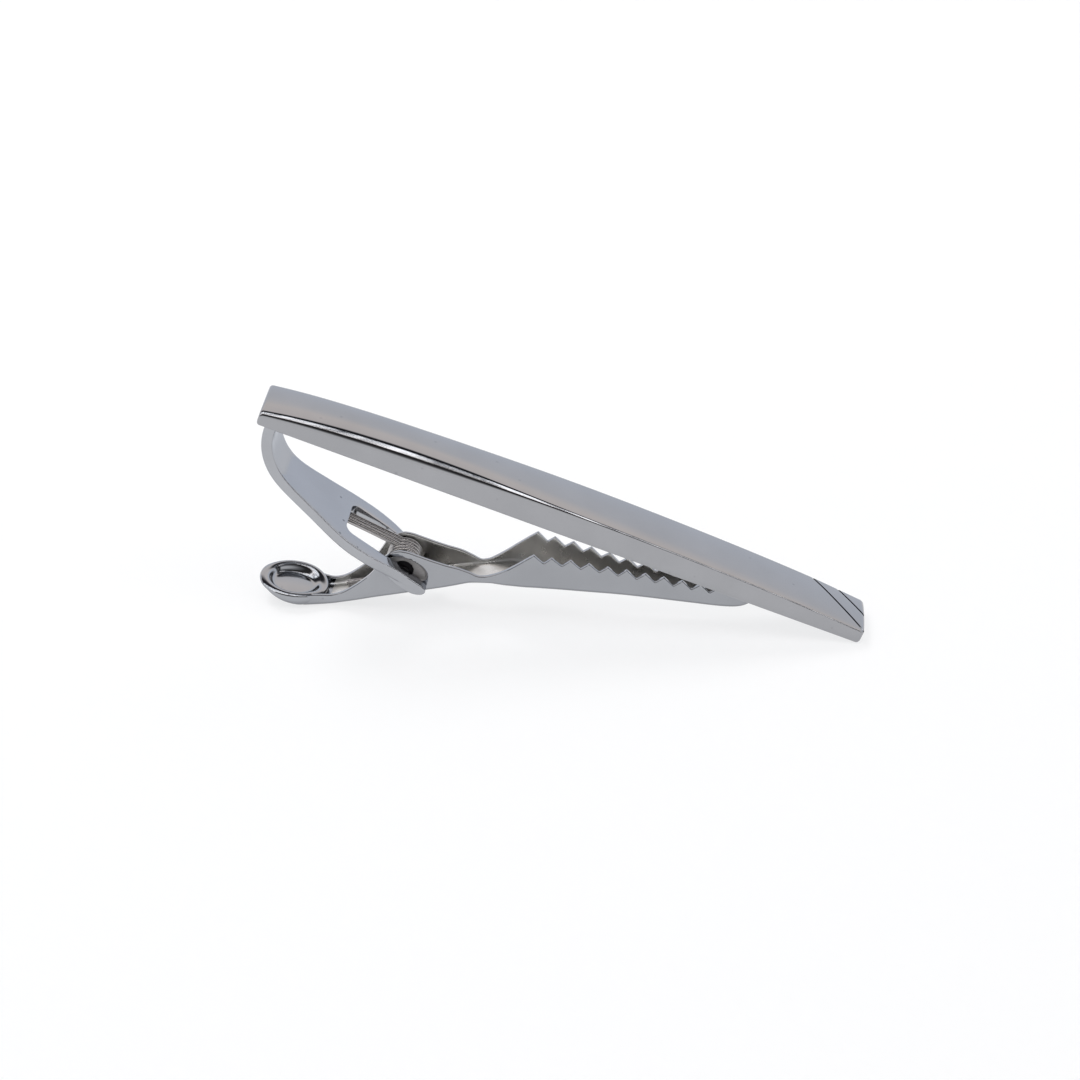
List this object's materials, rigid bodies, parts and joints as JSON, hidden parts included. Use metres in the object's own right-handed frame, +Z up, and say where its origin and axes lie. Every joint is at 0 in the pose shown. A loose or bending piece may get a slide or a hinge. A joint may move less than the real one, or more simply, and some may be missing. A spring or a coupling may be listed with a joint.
{
  "type": "tie clip",
  "caption": "Tie clip with an arched polished bar and a sprung, toothed alligator grip behind it, worked by a dished thumb pad.",
  "frame": {"origin": "on the table under the middle of the clip's bounding box, clip standing on its thumb pad and on the tip of the bar", "axes": "+X along the table from the thumb pad to the bar's tip, +Y across the clip's width, +Z up"},
  "size_m": [0.0579, 0.0084, 0.0211],
  "materials": {
    "bar_polished": "mirror polished, rhodium look",
    "bracket_polished": "bright plated",
    "lever_polished": "bright plated",
    "pin_steel": "plain drawn steel",
    "spring_wire": "bright drawn spring wire",
    "tail_wire": "bright drawn spring wire"
  },
  "bodies": {
    "frame": {"front_bar": "bar_polished", "bracket": "bracket_polished", "pivot_pin": "pin_steel", "torsion_spring": "spring_wire"},
    "jaw": {"jaw_lever": "lever_polished", "spring_tail": "tail_wire"}
  },
  "joints": [
    {"name": "jaw_pivot", "type": "hinge", "parent": "frame", "child": "jaw", "pos_m": [-0.01472, 0, 0.00425], "axis": [0, 1, 0], "range_deg": [0, 24], "stiffness_Nm_per_rad": 0.01, "springref_deg": -34.38}
  ]
}
